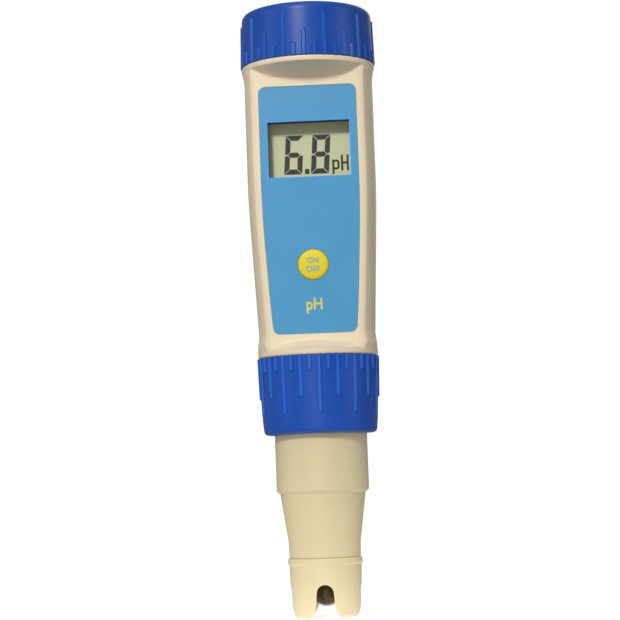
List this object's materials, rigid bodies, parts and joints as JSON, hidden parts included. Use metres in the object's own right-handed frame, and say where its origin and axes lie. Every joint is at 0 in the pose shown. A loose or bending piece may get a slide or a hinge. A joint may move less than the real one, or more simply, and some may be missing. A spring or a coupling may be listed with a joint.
{
  "type": "digital pH meter",
  "caption": "Pen-type waterproof digital pH meter with window display, power button, screw-on battery cap and replaceable glass-bulb sensor held by a ribbed collar",
  "frame": {"origin": "centre of the four guard prong tips, where the upright meter stands", "axes": "+Z from the probe tip to the battery cap, the flat display face looks towards -Y, +X to the viewer's right"},
  "size_m": [0.04, 0.04, 0.178],
  "materials": {
    "housing": "fine ivory satin",
    "front_label": "smooth polycarbonate film",
    "ph_marking": "printed",
    "window_lens": "clear",
    "display_gasket": "matte",
    "lcd_front_glass": "clear",
    "lcd_segments": "dark liquid crystal",
    "lcd_rear_glass": "grey-green, reflective",
    "zebra_strips": "striped elastomer",
    "lcd_reflector": "satin film",
    "display_frame": "moulded",
    "circuit_board": "solder mask",
    "board_screws": "zinc plated",
    "controller_blob": "black resin",
    "amplifier_chip": "moulded",
    "crystal": "metal can",
    "passives": "sintered",
    "switch_base": "moulded",
    "button_seal": "soft",
    "cap_oring": "greased",
    "battery_strips": "plated",
    "sensor_socket": "moulded",
    "socket_contacts": "gold plated",
    "socket_leads": "tinned",
    "battery_tray": "moulded",
    "button_cells": "bright steel",
    "tray_contacts": "spring bronze",
    "battery_cap": "fine blue satin",
    "swivel_rivet": "moulded",
    "power_button": "satin silicone-coated",
    "button_marking": "printed",
    "switch_plunger": "moulded",
    "sensor_shell": "fine ivory satin",
    "sensor_guard": "fine ivory satin",
    "glass_stem": "clear",
    "glass_bulb": "thin pH glass",
    "silver_wire": "chlorided silver",
    "bulb_gel": "dark buffered gel",
    "reference_junction": "porous",
    "stem_seal": "potting",
    "reference_gel": "salt gel",
    "reference_wire": "chlorided silver",
    "sensor_plug": "epoxy",
    "sensor_pins": "gold plated",
    "sensor_oring": "greased",
    "sensor_collar": "fine blue satin",
    "slip_washer": "slippery polymer"
  },
  "bodies": {
    "housing": {"housing": "housing", "front_label": "front_label", "ph_marking": "ph_marking", "window_lens": "window_lens", "display_gasket": "display_gasket", "lcd_front_glass": "lcd_front_glass", "lcd_segments": "lcd_segments", "lcd_rear_glass": "lcd_rear_glass", "zebra_strips": "zebra_strips", "lcd_reflector": "lcd_reflector", "display_frame": "display_frame", "circuit_board": "circuit_board", "board_screws": "board_screws", "controller_blob": "controller_blob", "amplifier_chip": "amplifier_chip", "crystal": "crystal", "passives": "passives", "switch_base": "switch_base", "button_seal": "button_seal", "cap_oring": "cap_oring", "battery_strips": "battery_strips", "sensor_socket": "sensor_socket", "socket_contacts": "socket_contacts", "socket_leads": "socket_leads"},
    "battery_carrier": {"battery_tray": "battery_tray", "button_cells": "button_cells", "tray_contacts": "tray_contacts"},
    "cap": {"battery_cap": "battery_cap", "swivel_rivet": "swivel_rivet"},
    "button": {"power_button": "power_button", "button_marking": "button_marking", "switch_plunger": "switch_plunger"},
    "sensor": {"sensor_shell": "sensor_shell", "sensor_guard": "sensor_guard", "glass_stem": "glass_stem", "glass_bulb": "glass_bulb", "silver_wire": "silver_wire", "bulb_gel": "bulb_gel", "reference_junction": "reference_junction", "stem_seal": "stem_seal", "reference_gel": "reference_gel", "reference_wire": "reference_wire", "sensor_plug": "sensor_plug", "sensor_pins": "sensor_pins", "sensor_oring": "sensor_oring"},
    "collar": {"sensor_collar": "sensor_collar", "slip_washer": "slip_washer"}
  },
  "joints": [
    {"name": "carrier_slide", "type": "slide", "parent": "housing", "child": "battery_carrier", "axis": [0, 0, 1], "range_m": [0, 0.012]},
    {"name": "cap_turn", "type": "hinge", "parent": "battery_carrier", "child": "cap", "pos_m": [0, 0, 0.17], "axis": [0, 0, 1], "range_deg": [0, 1440]},
    {"name": "sensor_slide", "type": "slide", "parent": "housing", "child": "sensor", "axis": [0, 0, -1], "range_m": [0, 0.012]},
    {"name": "collar_turn", "type": "hinge", "parent": "sensor", "child": "collar", "pos_m": [0, 0, 0.064], "axis": [0, 0, -1], "range_deg": [0, 1440]},
    {"name": "button_press", "type": "slide", "parent": "housing", "child": "button", "axis": [0, 1, 0], "range_m": [0, 0.0004], "stiffness_N_per_m": 600, "springref_m": -0.0002}
  ],
  "couplings": [
    {"joint": "cap_turn", "follows": "carrier_slide", "rad_per_m": 2094.4},
    {"joint": "collar_turn", "follows": "sensor_slide", "rad_per_m": 2094.4}
  ]
}
